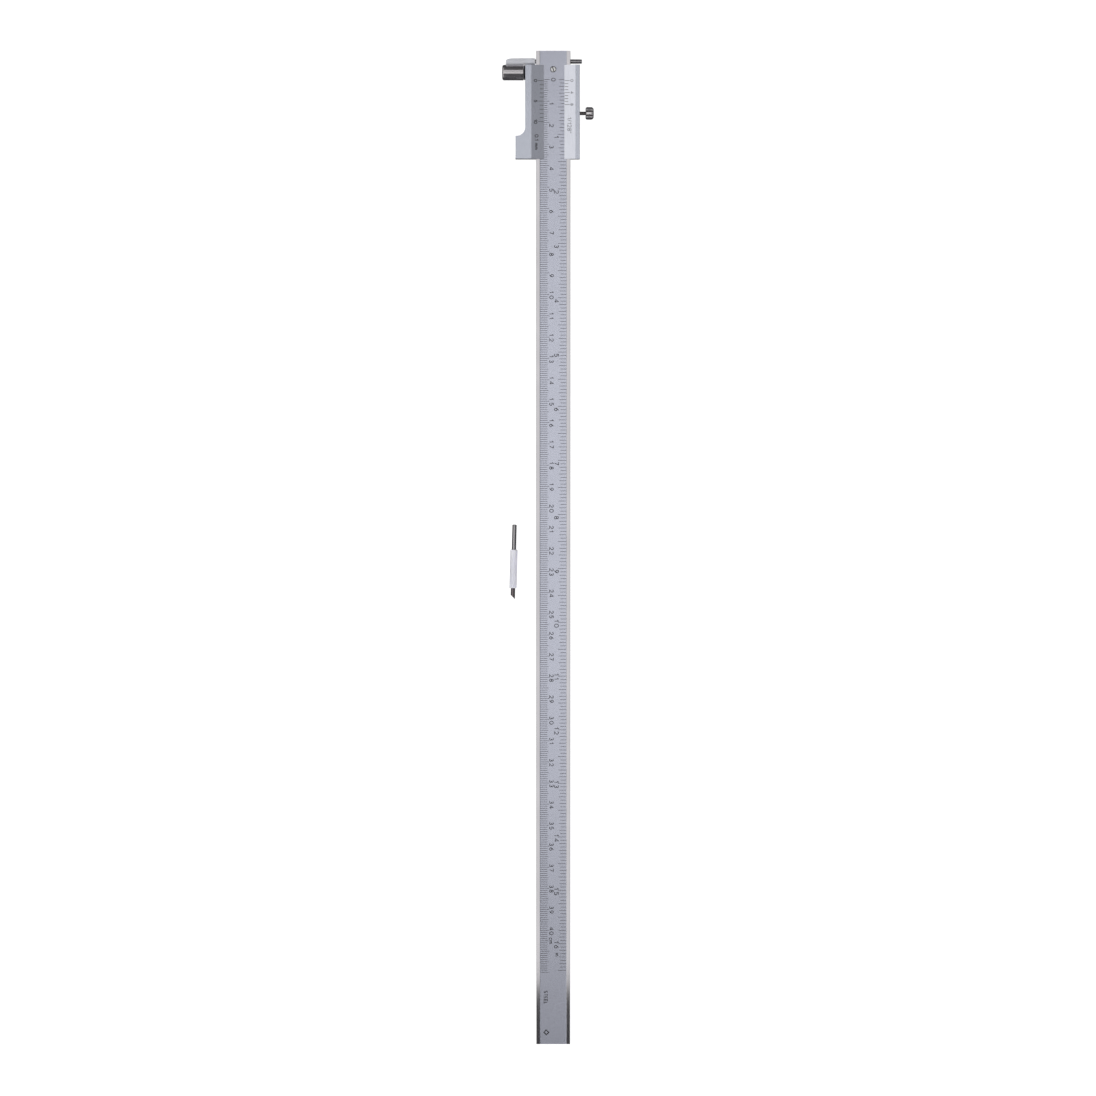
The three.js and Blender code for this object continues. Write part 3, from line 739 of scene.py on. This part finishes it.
def build_roller():
    """The roller's profile starts at its inner end. The local Y axis points away from the slider."""
    start, end = 0, ROLLER["start"] - ROLLER["end"]
    radius, bore, seat = ROLLER["radius"], ROLLER["bore"], ROLLER["counterbore"]
    rim, chamfer, edge, floor = ROLLER["rim"], ROLLER["inner_chamfer"], ROLLER["edge"], end - ROLLER["depth"]
    roller = lathe(
        [(bore, start), (radius - chamfer, start), (radius, start + chamfer)]
        + rounded(radius - rim, end - rim, rim, 0, 8)
        + [(seat + edge, end), (seat, end - edge), (seat, floor), (bore, floor)]
    )
    place(roller, toward_minus_x(ROLLER["start"], ROLLER["y"], AXIS_Z))
    finish_piece("roller_body", roller, [ROLLER_STEEL], "roller", ["guide_roller"])
    outer, thickness, chamfer = SPACER["radius"], SPACER["thickness"], SPACER["chamfer"]
    spacer = lathe([
        (SPACER["bore"], 0), (outer - chamfer, 0), (outer, chamfer),
        (outer, thickness - chamfer), (outer - chamfer, thickness), (SPACER["bore"], thickness),
    ])
    place(spacer, toward_minus_x(SPACER["start"], ROLLER["y"], AXIS_Z))
    # The ring is painted near black, as dark as the shaded gap between roller and slider.
    finish_piece("thrust_ring", spacer, [NEAR_BLACK_RING], "slider", ["roller_spacer"])


# ---------------------------------------------------------------- lock screw


def flute_radius(angle):
    """The knob's radius at an angle, as its nearest groove leaves it."""
    pitch = 2 * math.pi / KNOB["flutes"]
    off = (angle - KNOB["turn"] + pitch / 2) % pitch - pitch / 2
    distance = KNOB["radius"] - KNOB["flute_depth"] + KNOB["flute_radius"]
    across = distance * math.sin(off)
    if abs(across) >= KNOB["flute_radius"]:
        return KNOB["radius"]
    return min(KNOB["radius"], distance * math.cos(off) - math.sqrt(KNOB["flute_radius"] ** 2 - across ** 2))


def knob_surface(face):
    """0 for the knob's bright steel and 1 for painted shade in its grooves, while it still lies about its own
    axis.
    """
    middle = face.calc_center_median()
    radius = math.hypot(middle.x, middle.z) / MM
    in_groove = flute_radius(math.atan2(middle.z, middle.x)) < KNOB["radius"] - KNOB["groove_edge"]
    return 1 if in_groove and radius > KNOB["groove_from"] else 0


def build_lock():
    start, end, radius = KNOB["start"], KNOB["end"], KNOB["radius"]
    inner, outer = KNOB["inner_round"], KNOB["outer_round"]
    steps = 24 * KNOB["flutes"]
    bore, bore_end = STUD["neck"] + 0.02, STUD["end"] + 0.02
    knob = lathe(
        [(0, bore_end), (bore, bore_end), (bore, start)]
        + rounded(radius - inner, start + inner, inner, -90, 8)
        + rounded(radius - outer, end - outer, outer, 0, 8)
        + [(0.9, end), (0.8, end - 0.1), (0, end - 0.1)],
        radius_at=lambda r, angle: min(r, flute_radius(angle)),
        angles=[2 * math.pi * i / steps for i in range(steps)],
    )
    paint_faces(knob, knob_surface)
    place(knob, toward_plus_x(0, KNOB["y"], AXIS_Z))
    # The knob's grooves are painted with the dark stud steel as shade.
    finish_piece("knob_fluted", knob, [KNOB_STEEL, NECK_STEEL_AND_GROOVE_SHADE], "lock_screw", ["lock_knob"])
    profile = [(0, STUD["start"])]
    turns = int((STUD["thread_end"] - STUD["start"]) / STUD["thread_pitch"])
    for i in range(turns):
        y = STUD["start"] + i * STUD["thread_pitch"]
        profile += [(STUD["neck"], y), (STUD["radius"], y + STUD["thread_pitch"] / 2)]
    profile += [(STUD["neck"], STUD["start"] + turns * STUD["thread_pitch"])]
    profile += [(STUD["neck"], STUD["end"]), (0, STUD["end"])]
    stud = place(lathe(profile), toward_plus_x(0, KNOB["y"], AXIS_Z))
    finish_piece("stud_threaded", stud, [NECK_STEEL_AND_GROOVE_SHADE], "lock_screw", ["lock_stud"])


# ---------------------------------------------------------------- small pieces that keep their CAD shape


def build_clamp_screw():
    """Its head is bright, and its slot and sides are painted near black as shade."""
    screw = welded("scriber_clamp_screw")
    # Faces below this height, the slot and the sides in the recess, get painted shade.
    shade_z = (FACE_Z - CLAMP["shade_below"]) * MM
    paint_faces(screw, lambda face: 1 if face.calc_center_median().z < shade_z else 0)
    finish_piece("clamp_screw_slotted", screw, [BRIGHT_SCREW, PAINTED_RECESS_SHADE], "clamp_screw",
                 ["scriber_clamp_screw"])


def build_small_pieces():
    keep = {
        "roller_axle": (SCREW_STEEL, "slider", "screw_steel"),
        "gib_screw_upper": (SCREW_STEEL, "slider", "screw_steel"),
        "gib_screw_lower": (SCREW_STEEL, "slider", "screw_steel"),
        "gib_strip": (BRONZE, "slider", "bronze"),
        "roller_bush_inner": (BRONZE, "roller", "bronze"),
        "roller_bush_outer": (BRONZE, "roller", "bronze"),
        "lock_pad": (BRASS, "lock_pad", "brass"),
    }
    for node, (material, body, slot) in keep.items():
        finish_piece(node + "_eased", welded(node), [material], body, [node])


# ---------------------------------------------------------------- studio


def softbox(name, x_span, y_span, height, radiance, color=(1, 1, 1)):
    """A rectangular light that shines straight down. Its radiance is what a mirror shows of it."""
    width = x_span[1] - x_span[0]
    length = y_span[1] - y_span[0]
    light = bpy.data.lights.new(name, "AREA")
    light.shape = "RECTANGLE"
    light.size = width
    light.size_y = length
    light.color = color
    light.energy = radiance * math.pi * width * length
    lamp = bpy.data.objects.new(name, light)
    lamp.location = ((x_span[0] + x_span[1]) / 2, (y_span[0] + y_span[1]) / 2, height)
    bpy.context.scene.collection.objects.link(lamp)
    return lamp


def standing_panel(azimuth):
    """An upright light at a corner of the room. It only shows in metal, seen from low viewpoints."""
    lamp = softbox(f"panel_{azimuth}", (0, PANEL["width"]), (0, PANEL["length"]), 0, PANEL["radiance"])
    turn = math.radians(azimuth)
    lamp.location = (PANEL["distance"] * math.cos(turn), PANEL["distance"] * math.sin(turn), PANEL["height"])
    lamp.rotation_euler = (math.pi / 2, 0, turn + math.pi / 2)
    lamp.visible_diffuse = False


def build_lights():
    for name, box in SOFTBOXES.items():
        softbox(name, box["x"], box["y"], SOFTBOX_HEIGHT, box["radiance"], box.get("color", (1, 1, 1)))
    fill = softbox("fill", FILL["span"], FILL["span"], FILL["height"], FILL["radiance"])
    fill.visible_glossy = False
    for azimuth in PANEL_AZIMUTHS:
        standing_panel(azimuth)
    world = bpy.data.worlds.new("studio")
    world.use_nodes = True
    background = world.node_tree.nodes["Background"]
    background.inputs["Color"].default_value = ROOM_COLOR
    bpy.context.scene.world = world


def build_floor():
    """A white table top that glows a little, so that it stays white round the object."""
    half, z = FLOOR["half"], -FLOOR["below"] * MM
    floor_mesh = bmesh.new()
    corners = [(-half, -half), (half, -half), (half, half), (-half, half)]
    floor_mesh.faces.new([floor_mesh.verts.new((x, y, z)) for x, y in corners])
    data = bpy.data.meshes.new("floor")
    floor_mesh.to_mesh(data)
    floor_mesh.free()
    material, tree, shader = new_material("floor_white")
    shader.inputs["Base Color"].default_value = FLOOR["base"]
    shader.inputs["Roughness"].default_value = FLOOR["roughness"]
    shader.inputs["Emission Color"].default_value = (1, 1, 1, 1)
    shader.inputs["Emission Strength"].default_value = FLOOR["glow"]
    data.materials.append(material)
    floor = bpy.data.objects.new("floor", data)
    bpy.context.scene.collection.objects.link(floor)
    floor.visible_glossy = False


def build_camera():
    """Above the object, a little towards its head, and aimed at its middle."""
    data = bpy.data.cameras.new("camera")
    data.sensor_width = SENSOR
    data.lens = LENS
    data.clip_end = 100
    camera = bpy.data.objects.new("camera", data)
    camera.location = CAMERA_PLACE
    look = Vector(CAMERA_AIM) - camera.location
    camera.rotation_euler = (math.atan2(look.y, -look.z), 0, 0)
    bpy.context.scene.collection.objects.link(camera)
    bpy.context.scene.camera = camera
    bpy.context.scene.view_settings.view_transform = "Standard"


build_camera()
build_lights()
build_floor()
build_beam()
build_slider()
build_marks()
build_scribers()
build_roller()
build_lock()
build_clamp_screw()
build_small_pieces()
